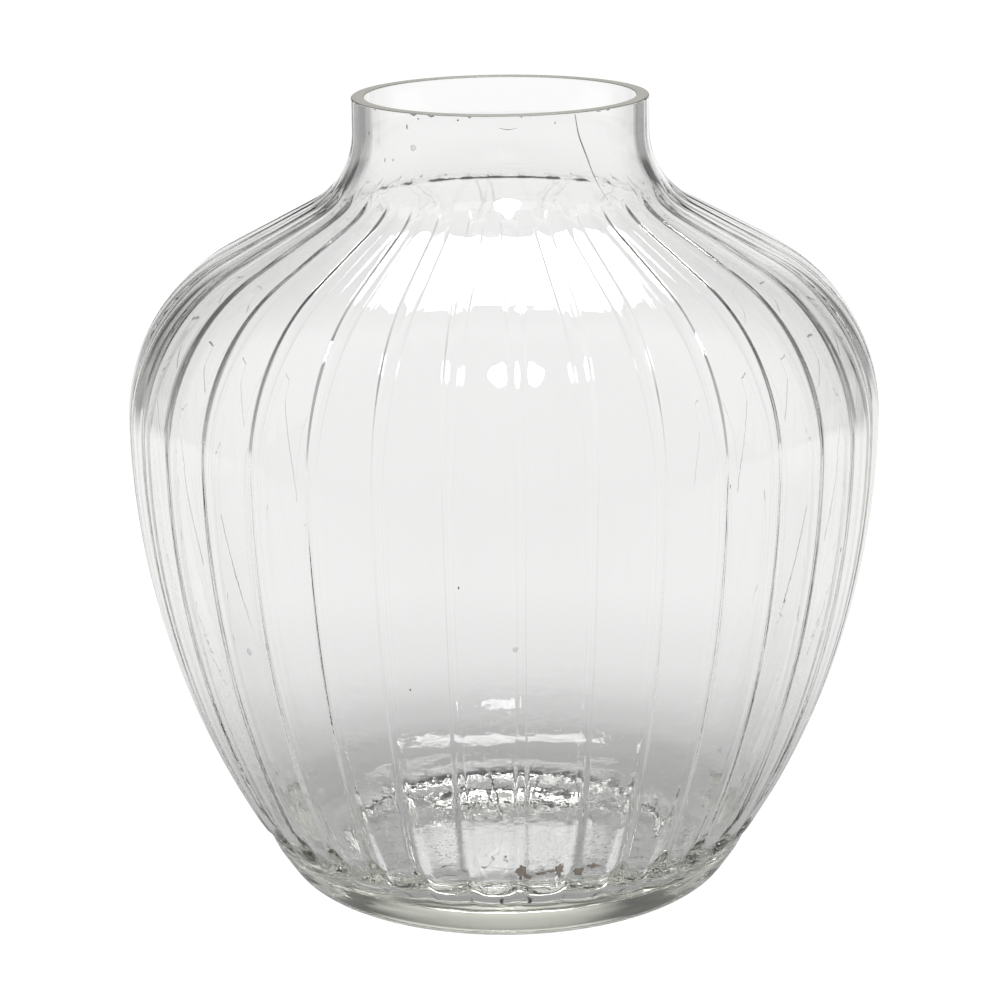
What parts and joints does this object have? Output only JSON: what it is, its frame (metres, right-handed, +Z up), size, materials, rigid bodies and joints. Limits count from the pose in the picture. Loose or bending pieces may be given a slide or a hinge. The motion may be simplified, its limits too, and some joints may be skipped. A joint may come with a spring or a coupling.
{
  "type": "vase",
  "caption": "Round-bellied clear glass vase with upright panels and grooves round its body, a short plain neck with a ground rim, and a plain foot; holds water and cut flowers.",
  "frame": {"origin": "centre of the foot, on the surface that the vase stands on", "axes": "+Z up along the vase's axis, towards the rim; the grooves lie at 5 degrees plus every 10 degrees round it, so the X and Y axes pass through the middles of panels"},
  "size_m": [0.2338, 0.2338, 0.25],
  "materials": {
    "clear_glass": "clear glass with a faint grey-green tint, fire-polished, soft mould ripple, rim ground matt"
  },
  "bodies": {
    "root": {"glass_vase": "clear_glass"}
  },
  "joints": []
}
